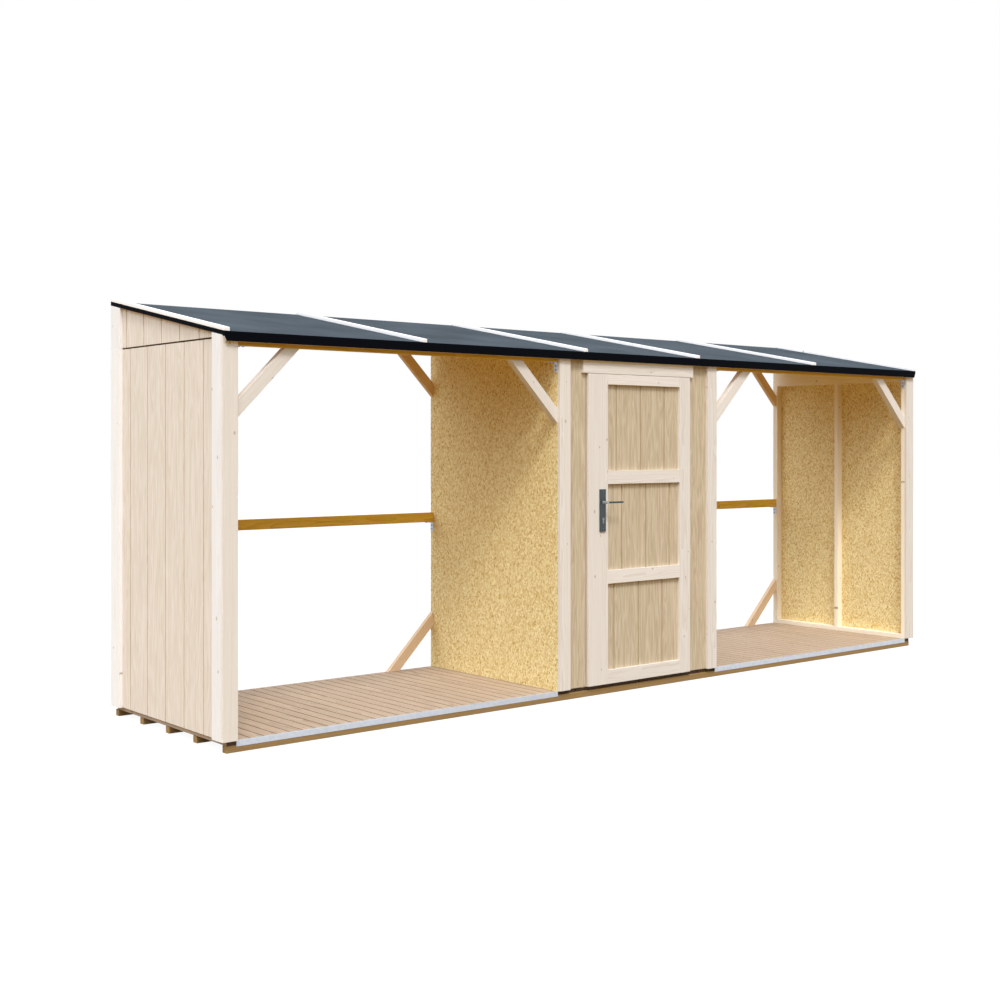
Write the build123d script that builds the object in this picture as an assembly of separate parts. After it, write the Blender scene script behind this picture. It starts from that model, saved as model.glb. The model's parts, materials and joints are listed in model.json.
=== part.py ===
from build123d import *
import math
import os

# A timber log store: two open bays either side of a closed cupboard, under one roof that falls to the front.
# While it is built, X runs along the length from the left wall, Y from the front face to the back, Z up
# from the ground. The finished pieces are moved so that the origin is under the middle of the store.

# Main sizes
bay_width = 2050.0
cupboard_width = 1328.0
siding_width = 1219.0
front_height = 1973.0
roof_rise = 232.0
wall_joint_drop = 2.0

# Timber stock
board_thickness = 18.0
siding_thickness = 12.0
stud_thickness = 30.0
stud_depth = 53.0
rear_stud_thickness = 42.0
plate_height = 30.0
top_plate_height = 54.0
rafter_height = 45.0
sheet_gap = 8.0
rear_inset = 17.0

# Grooves pressed into the siding, and where the gable sheet's first groove falls
groove_pitch = 203.2
groove_width = 9.0
groove_depth = 4.0
gable_groove_shift = 46.0

# Floor
bearer_count = 5
bearer_width = 38.0
bearer_height = 35.0
deck_thickness = 18.0
board_lift = 22.0
siding_lift = 24.0
edging_face = 27.0
edging_shelf = 20.0
edging_thickness = 1.5

# Corner trims on the outside of the end walls
front_trim_width = 88.0
rear_trim_width = 110.0

# Bay framing
beam_drop = 46.0
rear_beam_drop = 96.0
rail_foot = 969.0
rail_height = 60.0
brace_leg = 349.0
brace_width = 60.0
front_brace_thickness = 42.0
bracket_leg = 58.0
bracket_thickness = 2.5

# Roof
roof_board_thickness = 18.0
felt_thickness = 3.0
fascia_thickness = 15.0
fascia_drop = 29.0
fascia_corner_cut = 14.0
batten_width = 30.0
batten_height = 18.0
batten_inset = 173.0

# Doorway and door
doorway_left_margin = 135.0
doorway_right_margin = 156.0
door_drop = 103.0
door_gap = 5.0
door_head_gap = 2.0
lock_stile_width = 157.0
hinge_stile_width = 95.0
bottom_rail_width = 80.0
middle_rail_width = 78.0
top_rail_width = 60.0
lower_groove_offset = 19.0
middle_groove_offset = 82.0
upper_groove_offset = 38.0
leaf_joint_gap = 2.0
head_board_drop = 8.0
head_board_left_lap = 40.0
head_board_right_lap = 28.0
lintel_height = 58.0

# Butt hinges: leaves in the gap beside the door, barrel in the corner in front of the siding
hinge_count = 3
hinge_height = 90.0
hinge_end_margin = 180.0
knuckle_radius = 4.5
knuckle_gap = 0.5
hinge_pin_radius = 2.0
hinge_plate_thickness = 2.0
running_clearance = 0.3
barrel_clearance = 1.5

# Lock plate, cylinder and lever
lock_plate_width = 46.0
lock_plate_height = 246.0
lock_plate_thickness = 8.0
lock_plate_edge = 25.0
lock_plate_backing = 2.0
lever_height = 1122.0
lever_above_plate_foot = 170.0
lever_length = 121.0
lever_bar_height = 11.0
lever_bar_thickness = 12.0
lever_bar_round = 4.0
lever_reach = 46.0
lever_neck_radius = 8.0
cylinder_drop = 98.0
cylinder_radius = 8.5
cylinder_slot_width = 10.0
cylinder_height = 33.0
cylinder_stand = 3.0

# Extra length that lets a cut pass clear of the piece it cuts
overrun = 20.0

# Places that follow from the sizes
post_width = board_thickness + siding_thickness + stud_depth
total_length = 2 * (post_width + bay_width) + cupboard_width
cupboard_left = post_width + bay_width
cupboard_right = cupboard_left + cupboard_width
right_bay_end = total_length - post_width
wall_skin = board_thickness + siding_thickness
rear_face = board_thickness + siding_width
rear_height = front_height + roof_rise
frame_back = rear_face - rear_inset
wall_joint_height = front_height - wall_joint_drop
beam_foot = front_height - beam_drop
rear_beam_foot = rear_height - rear_beam_drop
fascia_foot = front_height - fascia_drop
deck_top = bearer_height + deck_thickness
board_foot = bearer_height + board_lift
siding_foot = bearer_height + siding_lift
stud_foot = deck_top + plate_height
top_plate_foot = wall_joint_height - top_plate_height
roof_slope = roof_rise / rear_face
roof_drop_factor = math.sqrt(1 + roof_slope * roof_slope)
roof_board_rise = roof_board_thickness * roof_drop_factor
felt_rise = felt_thickness * roof_drop_factor
batten_rise = batten_height * roof_drop_factor
rafter_rise = rafter_height * roof_drop_factor
felt_front = -(fascia_thickness + felt_thickness)

doorway_left = cupboard_left + post_width + doorway_left_margin
doorway_right = cupboard_right - post_width - doorway_right_margin
door_left = doorway_left + door_gap
door_right = doorway_right - door_gap
door_foot = siding_foot
door_top = front_height - door_drop
door_height = door_top - door_foot
doorway_top = door_top + door_head_gap
door_panel_height = (door_height - bottom_rail_width - 2 * middle_rail_width - top_rail_width) / 3

hinge_x = door_right + knuckle_radius + barrel_clearance
hinge_y = board_thickness - knuckle_radius - barrel_clearance
lever_x = door_left + lock_stile_width - lock_plate_edge - lock_plate_width / 2
lever_front = -(lock_plate_thickness + lever_reach)
lever_socket_depth = lock_plate_thickness - lock_plate_backing
lock_plate_foot = lever_height - lever_above_plate_foot
origin_y = (rear_face + lever_front) / 2


def roof_under(y):
    """Height of the roof's underside at a distance from the front."""
    return front_height + roof_slope * y


def roof_top(y):
    """Height of the top of the roof boards."""
    return roof_under(y) + roof_board_rise


def slab(x0, x1, y0, y1, z0, z1):
    """Squared piece between two corners."""
    middle = ((x0 + x1) / 2, (y0 + y1) / 2, (z0 + z1) / 2)
    return Pos(*middle) * Box(x1 - x0, y1 - y0, z1 - z0)


def side_prism(x0, x1, outline):
    """Piece with an outline of (y, z) points seen from the end, running from x0 to x1."""
    end_plane = Plane(origin=(x0, 0, 0), x_dir=(0, 1, 0), z_dir=(1, 0, 0))
    end_face = make_face(end_plane * Polyline(*outline, close=True))
    return extrude(end_face, amount=x1 - x0, dir=(1, 0, 0))


def front_prism(y0, y1, outline):
    """Piece with an outline of (x, z) points seen from the front, running from y0 to y1."""
    front_plane = Plane(origin=(0, y0, 0), x_dir=(1, 0, 0), z_dir=(0, -1, 0))
    front_face = make_face(front_plane * Polyline(*outline, close=True))
    return extrude(front_face, amount=y1 - y0, dir=(0, 1, 0))


def upright(x0, x1, y0, y1, foot):
    """Piece that stands on its foot and is cut to the roof slope at the top."""
    return side_prism(x0, x1, [(y0, foot), (y1, foot), (y1, roof_under(y1)), (y0, roof_under(y0))])


def under_roof(x0, x1, y0, y1, rise):
    """Sloping piece of a given upright height that lies against the underside of the roof."""
    top = [(y1, roof_under(y1)), (y0, roof_under(y0))]
    return side_prism(x0, x1, [(y0, roof_under(y0) - rise), (y1, roof_under(y1) - rise)] + top)


def node(name, *pieces):
    """Write one named sub-part, moved so that the origin is under the middle of the store."""
    centred = Location((-total_length / 2, -origin_y, 0))
    moved = [centred * piece for piece in pieces]
    shape = moved[0] if len(moved) == 1 else Compound(children=moved)
    export_step(shape, "parts/" + name + ".step")


def mirrored(piece):
    """The same piece at the other end of the store."""
    return mirror(piece, about=Plane(origin=(total_length / 2, 0, 0), z_dir=(1, 0, 0)))


def both_ends(name, *pieces):
    """Write one named sub-part made of the left-hand pieces and the same pieces at the right."""
    node(name, *pieces, *[mirrored(piece) for piece in pieces])


def grooves_across(first, start, end):
    """Places of the siding grooves between two edges of a sheet."""
    count = int((end - first) / groove_pitch) + 1
    places = [first + groove_pitch * i for i in range(count)]
    return [place for place in places if start + groove_width < place < end - groove_width]


def end_wall_grooves(first):
    """Upright grooves in the outside of the left end wall."""
    x0 = board_thickness - overrun
    x1 = board_thickness + groove_depth
    half = groove_width / 2
    places = grooves_across(first, board_thickness, rear_face)
    return [slab(x0, x1, y - half, y + half, 0, rear_height + overrun) for y in places]


def build_floor():
    """Bearers, deck and the metal edging of the deck in each bay."""
    step = (siding_width - bearer_width) / (bearer_count - 1)
    bearers = []
    for i in range(bearer_count):
        y = board_thickness + i * step
        bearers.append(slab(wall_skin, total_length - wall_skin, y, y + bearer_width, 0, bearer_height))
    node("floor_bearers", *bearers)

    left_deck = slab(wall_skin, cupboard_left, board_thickness, frame_back, bearer_height, deck_top)
    both_ends("bay_decks", left_deck)
    node("cupboard_floor", slab(cupboard_left, cupboard_right, wall_skin, frame_back, bearer_height, deck_top))

    face = board_thickness - edging_thickness
    top = deck_top + edging_thickness
    angle = [(face, top), (face, top - edging_face), (board_thickness, top - edging_face),
             (board_thickness, deck_top), (face + edging_shelf, deck_top), (face + edging_shelf, top)]
    both_ends("deck_edgings", side_prism(post_width, cupboard_left, angle))


def build_end_walls():
    """Siding, gable, frame and corner boards of the two end walls."""
    inner = post_width
    sheet_top = wall_joint_height - sheet_gap
    sheet = slab(board_thickness, wall_skin, board_thickness, rear_face, siding_foot, sheet_top)
    sheet = sheet - end_wall_grooves(board_thickness + groove_pitch)
    gable = upright(board_thickness, wall_skin, board_thickness, rear_face, wall_joint_height)
    gable = gable - end_wall_grooves(board_thickness + gable_groove_shift)

    middle = (board_thickness + frame_back - stud_thickness) / 2
    rear_stud = frame_back - rear_stud_thickness
    studs = []
    for y0, y1 in ((board_thickness, board_thickness + stud_thickness), (middle, middle + stud_thickness),
                   (rear_stud, frame_back)):
        studs.append(slab(wall_skin, inner, y0, y1, stud_foot, top_plate_foot))
    gable_plate_top = wall_joint_height + top_plate_height
    gable_stud_top = [(frame_back, roof_under(frame_back) - rafter_rise),
                      (rear_stud, roof_under(rear_stud) - rafter_rise)]
    gable_stud = side_prism(wall_skin, inner, [(rear_stud, gable_plate_top), (frame_back, gable_plate_top)]
                            + gable_stud_top)

    bottom_plate = slab(wall_skin, inner, board_thickness, frame_back, deck_top, stud_foot)
    top_plate = slab(wall_skin, inner, board_thickness, frame_back, top_plate_foot, wall_joint_height)

    heel = (wall_joint_height + rafter_rise - front_height) / roof_slope
    rafter = side_prism(wall_skin, inner, [
        (board_thickness, wall_joint_height), (heel, wall_joint_height),
        (frame_back, roof_under(frame_back) - rafter_rise), (frame_back, roof_under(frame_back)),
        (board_thickness, roof_under(board_thickness))])
    gable_plate = side_prism(wall_skin, inner, [
        (heel, wall_joint_height), (frame_back, wall_joint_height), (frame_back, gable_plate_top),
        (heel + top_plate_height / roof_slope, gable_plate_top)])

    post = upright(0, post_width, 0, board_thickness, board_foot)
    front_trim = upright(0, board_thickness, board_thickness, board_thickness + front_trim_width, board_foot)
    trim_front = rear_face - rear_trim_width
    rear_trim = slab(0, board_thickness, trim_front, rear_face, board_foot, wall_joint_height)
    gable_trim = upright(0, board_thickness, trim_front, rear_face, wall_joint_height)

    both_ends("wall_panels", sheet)
    both_ends("gable_panels", gable)
    both_ends("wall_studs", *studs, gable_stud)
    both_ends("wall_plates", bottom_plate, top_plate)
    both_ends("gable_rafters", rafter)
    both_ends("gable_plates", gable_plate)
    both_ends("end_posts", post)
    both_ends("corner_trims", front_trim, rear_trim)
    both_ends("gable_trims", gable_trim)


def build_cupboard():
    """Walls, frame and front boards of the cupboard, with the doorway left open in its front."""
    inside_left = cupboard_left + siding_thickness
    inside_right = cupboard_right - siding_thickness
    back_inside = frame_back - siding_thickness
    frame_left = inside_left + stud_depth

    both_ends("cupboard_walls", upright(cupboard_left, inside_left, board_thickness, frame_back, deck_top))

    middle = (wall_skin + back_inside - stud_thickness) / 2
    studs = []
    for y0 in (wall_skin, middle, back_inside - stud_thickness):
        y1 = y0 + stud_thickness
        top = [(y1, roof_under(y1) - rafter_rise), (y0, roof_under(y0) - rafter_rise)]
        studs.append(side_prism(inside_left, frame_left, [(y0, stud_foot), (y1, stud_foot)] + top))
    both_ends("cupboard_studs", *studs)
    both_ends("cupboard_plates", slab(inside_left, frame_left, wall_skin, back_inside, deck_top, stud_foot),
              under_roof(inside_left, frame_left, wall_skin, back_inside, rafter_rise))

    strips = {
        "cupboard_front_left": (inside_left, doorway_left, siding_foot),
        "cupboard_front_right": (doorway_right, inside_right, siding_foot),
        "cupboard_front_head": (doorway_left, doorway_right, doorway_top),
    }
    for name, (x0, x1, foot) in strips.items():
        node(name, upright(x0, x1, board_thickness, wall_skin, foot))

    jamb_back = wall_skin + stud_depth
    jambs = []
    for x0 in (doorway_left - stud_thickness, doorway_right):
        jambs.append(upright(x0, x0 + stud_thickness, wall_skin, jamb_back, deck_top))
    node("door_jambs", *jambs)
    node("door_lintel", slab(doorway_left, doorway_right, wall_skin, jamb_back,
                             doorway_top, doorway_top + lintel_height))

    back = upright(inside_left, inside_right, back_inside, frame_back, deck_top)
    for x in grooves_across(inside_left + groove_pitch, inside_left, inside_right):
        half = groove_width / 2
        back = back - slab(x - half, x + half, frame_back - groove_depth, frame_back + overrun,
                           0, rear_height + overrun)
    node("cupboard_back", back)

    post = upright(cupboard_left, cupboard_left + post_width, 0, board_thickness, board_foot)
    both_ends("cupboard_posts", post)
    node("door_head_board", slab(door_left - head_board_left_lap, door_right + head_board_right_lap,
                                 0, board_thickness, doorway_top, front_height - head_board_drop))


def knee_brace(wall_x, corner_z, along, rise, y0, y1):
    """45 degree brace in the corner of a bay: along and rise are 1 or -1, away from the corner."""
    seat = brace_width * math.sqrt(2)
    outline = [(wall_x, corner_z + rise * brace_leg), (wall_x, corner_z + rise * (brace_leg - seat)),
               (wall_x + along * (brace_leg - seat), corner_z), (wall_x + along * brace_leg, corner_z)]
    return front_prism(y0, y1, outline)


def angle_bracket(wall_x, under_z, along, y0):
    """Metal angle in the corner under a beam or rail and beside a wall."""
    outline = [(wall_x, under_z), (wall_x + along * bracket_leg, under_z),
               (wall_x + along * bracket_leg, under_z - bracket_thickness),
               (wall_x + along * bracket_thickness, under_z - bracket_thickness),
               (wall_x + along * bracket_thickness, under_z - bracket_leg), (wall_x, under_z - bracket_leg)]
    return front_prism(y0, y0 + stud_thickness, outline)


def build_bays():
    """Beams, rails, braces and brackets of the two open bays."""
    front = board_thickness + stud_thickness
    back = frame_back - stud_thickness
    front_beam = upright(post_width, cupboard_left, board_thickness, front, beam_foot)
    rear_beam = upright(post_width, cupboard_left, back, frame_back, rear_beam_foot)
    rail = slab(post_width, cupboard_left, back, frame_back, rail_foot, rail_foot + rail_height)
    ends = ((post_width, 1), (cupboard_left, -1))
    brace_back = board_thickness + front_brace_thickness
    front_braces = [knee_brace(x, beam_foot, along, -1, board_thickness, brace_back) for x, along in ends]
    rear_braces = [knee_brace(x, rear_beam_foot, along, -1, back, frame_back) for x, along in ends]
    rear_braces += [knee_brace(x, deck_top, along, 1, back, frame_back) for x, along in ends]
    both_ends("front_beams", front_beam)
    both_ends("rear_beams", rear_beam)
    both_ends("rear_rails", rail)
    both_ends("front_braces", *front_braces)
    both_ends("rear_braces", *rear_braces)

    beam_brackets = [angle_bracket(x, beam_foot, along, board_thickness) for x, along in ends]
    beam_brackets += [angle_bracket(x, rear_beam_foot, along, back) for x, along in ends]
    rail_brackets = [angle_bracket(x, rail_foot, along, back) for x, along in ends]
    both_ends("beam_brackets", *beam_brackets)
    both_ends("rail_brackets", *rail_brackets)


def build_roof():
    """Roof boards, fascia, felt wrapped over the edges, and battens on the felt."""
    left = felt_thickness
    right = total_length - felt_thickness
    node("roof_deck", side_prism(left, right, [
        (0, roof_under(0)), (rear_face, roof_under(rear_face)), (rear_face, roof_top(rear_face)),
        (0, roof_top(0))]))

    fascia_face = -fascia_thickness
    fascia = side_prism(left, right, [
        (fascia_face, fascia_foot), (0, fascia_foot), (0, roof_top(0)), (fascia_face, roof_top(fascia_face))])

    wrapped = side_prism(0, total_length, [
        (felt_front, fascia_foot), (0, fascia_foot), (0, roof_under(0)), (rear_face, roof_under(rear_face)),
        (rear_face, roof_top(rear_face) + felt_rise), (felt_front, roof_top(felt_front) + felt_rise)])
    core = side_prism(left, right, [
        (fascia_face, fascia_foot - overrun), (0, fascia_foot - overrun), (0, roof_under(0) - overrun),
        (rear_face + overrun, roof_under(rear_face + overrun) - overrun),
        (rear_face + overrun, roof_top(rear_face + overrun)), (fascia_face, roof_top(fascia_face))])
    felt = wrapped - core

    corner = front_prism(felt_front - overrun, 0, [
        (-overrun, fascia_foot - overrun), (fascia_corner_cut, fascia_foot - overrun),
        (fascia_corner_cut, fascia_foot), (0, front_height), (-overrun, front_height)])
    node("front_fascia", fascia - corner - mirrored(corner))
    node("roof_felt", felt - corner - mirrored(corner))

    foot = [(felt_front, roof_top(felt_front) + felt_rise), (rear_face, roof_top(rear_face) + felt_rise)]
    head = [(y, z + batten_rise) for y, z in reversed(foot)]
    inner = cupboard_left + batten_inset
    battens = [side_prism(x, x + batten_width, foot + head) for x in (0, inner / 2, inner)]
    both_ends("roof_battens", *battens)


def build_door():
    """Framed door with a grooved sheet behind each panel, its hinges, and the lock plate with its lever."""
    leaf_foot = door_foot
    leaves = []
    rail_middle = door_foot + bottom_rail_width + door_panel_height + middle_rail_width / 2
    next_rail = door_panel_height + middle_rail_width
    for offset, leaf_top in ((lower_groove_offset, rail_middle), (middle_groove_offset, rail_middle + next_rail),
                             (upper_groove_offset, door_top)):
        leaf = slab(door_left, door_right, board_thickness, wall_skin, leaf_foot, leaf_top)
        for x in grooves_across(door_left + offset, door_left, door_right):
            half = groove_width / 2
            leaf = leaf - slab(x - half, x + half, board_thickness - overrun, board_thickness + groove_depth,
                               0, door_top + overrun)
        leaves.append(leaf)
        leaf_foot = leaf_top + leaf_joint_gap
    node("door_leaf", *leaves)

    panel_left = door_left + lock_stile_width
    panel_right = door_right - hinge_stile_width
    node("door_stiles", slab(door_left, panel_left, 0, board_thickness, door_foot, door_top),
         slab(panel_right, door_right, 0, board_thickness, door_foot, door_top))
    rails = []
    z = door_foot
    for width in (bottom_rail_width, middle_rail_width, middle_rail_width, top_rail_width):
        rails.append(slab(panel_left, panel_right, 0, board_thickness, z, z + width))
        z = z + width + door_panel_height
    node("door_rails", *rails)

    build_hinges()
    build_lock()


def build_hinges():
    """Butt hinges: outer knuckles and pin on the doorway's leaf, middle knuckle on the door's leaf."""
    first = door_foot + hinge_end_margin
    step = (door_height - 2 * hinge_end_margin - hinge_height) / (hinge_count - 1)
    third = hinge_height / 3
    room_radius = knuckle_radius + barrel_clearance / 2
    bore_radius = hinge_pin_radius + running_clearance
    length = third - 2 * knuckle_gap
    fixed = []
    moving = []
    for i in range(hinge_count):
        z = first + i * step
        barrel_middle = Pos(hinge_x, hinge_y, z + hinge_height / 2)
        plate = slab(doorway_right - hinge_plate_thickness, doorway_right, hinge_y, wall_skin,
                     z, z + hinge_height)
        barrel = barrel_middle * Cylinder(knuckle_radius, hinge_height)
        pin = barrel_middle * Cylinder(hinge_pin_radius, hinge_height)
        fixed.append(plate + barrel - barrel_middle * Cylinder(room_radius, third) + pin)

        leaf = slab(door_right, door_right + hinge_plate_thickness, hinge_y, wall_skin, z, z + hinge_height)
        for end in (z + third / 2, z + hinge_height - third / 2):
            leaf = leaf - Pos(hinge_x, hinge_y, end) * Cylinder(room_radius, third)
        low = z + third + knuckle_gap
        curl = slab(door_right, hinge_x, hinge_y, hinge_y + hinge_plate_thickness, low, low + length)
        knuckle = barrel_middle * Cylinder(knuckle_radius, length)
        moving.append(leaf + curl + knuckle - barrel_middle * Cylinder(bore_radius, hinge_height))
    node("hinge_frame_leaves", *fixed)
    node("hinge_door_leaves", *moving)


def build_lock():
    """Long lock plate on the stile, a lever that turns in it, and the key cylinder under the lever."""
    across = Rot(X=90)
    plate = slab(lever_x - lock_plate_width / 2, lever_x + lock_plate_width / 2, -lock_plate_thickness, 0,
                 lock_plate_foot, lock_plate_foot + lock_plate_height)
    socket_radius = lever_neck_radius + running_clearance
    socket_middle = -lock_plate_thickness + lever_socket_depth / 2
    socket = Pos(lever_x, socket_middle, lever_height) * across * Cylinder(socket_radius, lever_socket_depth)
    node("door_lock_plate", plate - socket)

    neck_end = -lock_plate_thickness + lever_socket_depth - running_clearance
    neck_length = neck_end - lever_front - lever_bar_thickness / 2
    neck_middle = neck_end - neck_length / 2
    neck = Pos(lever_x, neck_middle, lever_height) * across * Cylinder(lever_neck_radius, neck_length)
    bar = slab(lever_x - lever_neck_radius, lever_x + lever_length, lever_front,
               lever_front + lever_bar_thickness, lever_height - lever_bar_height / 2,
               lever_height + lever_bar_height / 2)
    bar = fillet(bar.edges().filter_by(Axis.X), lever_bar_round)
    node("door_lever", bar + neck)

    key_z = lever_height - cylinder_drop
    face = -lock_plate_thickness
    drum = Pos(lever_x, face - cylinder_stand / 2, key_z) * across * Cylinder(cylinder_radius, cylinder_stand)
    tail_foot = key_z - cylinder_height + cylinder_radius
    tail = slab(lever_x - cylinder_slot_width / 2, lever_x + cylinder_slot_width / 2, face - cylinder_stand,
                face, tail_foot, key_z)
    node("door_lock_cylinder", drum + tail)


os.makedirs("parts", exist_ok=True)
build_floor()
build_end_walls()
build_cupboard()
build_bays()
build_roof()
build_door()
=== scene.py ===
import json
import math
import random

import bmesh
import bpy
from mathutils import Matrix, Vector

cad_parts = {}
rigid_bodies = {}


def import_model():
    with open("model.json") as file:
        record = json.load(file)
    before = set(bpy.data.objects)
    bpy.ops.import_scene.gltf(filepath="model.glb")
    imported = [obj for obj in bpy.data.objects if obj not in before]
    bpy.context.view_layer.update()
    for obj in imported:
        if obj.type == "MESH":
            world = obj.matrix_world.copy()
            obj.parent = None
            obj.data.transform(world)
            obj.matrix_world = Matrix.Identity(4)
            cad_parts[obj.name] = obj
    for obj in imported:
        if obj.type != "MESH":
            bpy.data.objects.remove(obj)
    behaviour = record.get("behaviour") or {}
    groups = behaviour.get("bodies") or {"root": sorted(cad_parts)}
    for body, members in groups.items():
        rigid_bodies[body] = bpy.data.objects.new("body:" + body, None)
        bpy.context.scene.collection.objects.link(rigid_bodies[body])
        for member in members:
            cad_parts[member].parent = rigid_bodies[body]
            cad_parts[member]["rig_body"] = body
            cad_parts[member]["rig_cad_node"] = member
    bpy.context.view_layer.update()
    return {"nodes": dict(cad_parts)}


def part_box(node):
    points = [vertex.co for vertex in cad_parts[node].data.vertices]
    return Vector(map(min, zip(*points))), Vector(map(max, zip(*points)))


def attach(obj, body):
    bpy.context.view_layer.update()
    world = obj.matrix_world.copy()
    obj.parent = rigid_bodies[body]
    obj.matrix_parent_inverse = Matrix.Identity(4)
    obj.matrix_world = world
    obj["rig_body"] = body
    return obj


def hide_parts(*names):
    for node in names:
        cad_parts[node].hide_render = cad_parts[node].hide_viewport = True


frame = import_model()

# Floor bearers
# Five sawn softwood bearers lie along the whole store and carry its floor. They are pressure treated,
# which leaves the wood a dull yellow-brown, and the floor boards are nailed down into them.
bearer_arris = 0.0015
smooth_angle = math.radians(35.0)


def lone(piece):
    """Select one piece and nothing else."""
    bpy.ops.object.select_all(action="DESELECT")
    piece.select_set(True)
    bpy.context.view_layer.objects.active = piece


def ease_edges(piece, arris):
    """Round the sharp edges of a piece a little, and keep its broad faces flat in the light."""
    lone(piece)
    ease = piece.modifiers.new("ease", "BEVEL")
    ease.width = arris
    ease.segments = 2
    ease.limit_method = "ANGLE"
    ease.angle_limit = math.radians(30.0)
    bpy.ops.object.modifier_apply(modifier="ease")
    bpy.ops.object.shade_smooth_by_angle(angle=smooth_angle)
    piece.modifiers.new("flat faces", "WEIGHTED_NORMAL")
    bpy.ops.object.modifier_apply(modifier="flat faces")


def plain_copy(node, name):
    """Copy of a CAD node as one closed mesh with whole faces."""
    lone(frame["nodes"][node])
    bpy.ops.object.duplicate()
    piece = bpy.context.active_object
    piece.name = name
    piece.data.name = name
    piece.parent = None
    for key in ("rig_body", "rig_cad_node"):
        del piece[key]
    piece.data.materials.clear()
    bpy.ops.mesh.customdata_custom_splitnormals_clear()
    bpy.ops.object.mode_set(mode="EDIT")
    bpy.ops.mesh.select_all(action="SELECT")
    bpy.ops.mesh.remove_doubles(threshold=0.00002)
    bpy.ops.mesh.dissolve_limited(angle_limit=math.radians(1.0))
    bpy.ops.object.mode_set(mode="OBJECT")
    return piece


def eased_copy(node, name, arris):
    """Copy of a CAD node with its sharp edges eased, as sanding leaves them."""
    piece = plain_copy(node, name)
    ease_edges(piece, arris)
    return piece


def boards_of(solid):
    """Separate boards of a mesh, each as the list of its corners."""
    seen = set()
    for start in solid.verts:
        if start in seen:
            continue
        seen.add(start)
        board = [start]
        for vert in board:
            for edge in vert.link_edges:
                other = edge.other_vert(vert)
                if other not in seen:
                    seen.add(other)
                    board.append(other)
        yield board


def mark_grain(piece):
    """Give each board of a piece its own run of grain: metres along it, across its face and through it.

    Each board comes from its own place along a stem, with the pith some way behind its face and to one side.
    """
    stem_run = 40.0
    pith_aside = 0.05
    pith_near, pith_far = 0.03, 0.09
    draw = random.Random(piece.name)
    solid = bmesh.new()
    solid.from_mesh(piece.data)
    run = solid.verts.layers.float_vector.new("grain")
    tone = solid.verts.layers.float.new("tone")
    for board in boards_of(solid):
        edges = [edge for vert in board for edge in vert.link_edges]
        faces = [face for vert in board for face in vert.link_faces]
        longest = max(edges, key=lambda edge: round(edge.calc_length(), 5))
        along = (longest.verts[1].co - longest.verts[0].co).normalized()
        along = along if sum(along) > 0 else -along
        through = max(faces, key=lambda face: round(face.calc_area(), 7)).normal
        across = through.cross(along).normalized()
        middle = sum((vert.co for vert in board), Vector()) / len(board)
        pith = Vector((draw.uniform(0, stem_run), draw.uniform(-pith_aside, pith_aside),
                       draw.uniform(pith_near, pith_far)))
        board_tone = draw.random()
        for vert in board:
            place = vert.co - middle
            vert[run] = pith + Vector((place.dot(along), place.dot(across), place.dot(through)))
            vert[tone] = board_tone
    solid.to_mesh(piece.data)
    solid.free()


def linear(code):
    """Linear colour of an sRGB hex value."""
    parts = [int(code[i:i + 2], 16) / 255 for i in (1, 3, 5)]
    return [p / 12.92 if p <= 0.04045 else ((p + 0.055) / 1.055) ** 2.4 for p in parts] + [1.0]


def fresh_material(name):
    """New material, with its node tree and the shader that its finish is set on."""
    material = bpy.data.materials.new(name)
    material.use_nodes = True
    tree = material.node_tree
    return material, tree, tree.nodes["Principled BSDF"]


def add_node(tree, kind, inputs=None, **settings):
    """Add a node with its settings; an input given as a socket is linked, any other is set."""
    node = tree.nodes.new(kind)
    for key, value in settings.items():
        setattr(node, key, value)
    for key, value in (inputs or {}).items():
        if isinstance(value, bpy.types.NodeSocket):
            tree.links.new(value, node.inputs[key])
        else:
            node.inputs[key].default_value = value
    return node


def mix_colours(tree, share, first, second):
    """Blend of two colours, each a hex value, a plain colour or a socket; share is the second one's part."""
    ends = [linear(colour) if isinstance(colour, str) else colour for colour in (first, second)]
    return add_node(tree, "ShaderNodeMix", {0: share, 6: ends[0], 7: ends[1]}, data_type="RGBA").outputs[2]


def own_place(tree):
    """Place on a piece in its own frame, in metres."""
    return add_node(tree, "ShaderNodeTexCoord").outputs["Object"]


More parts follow.
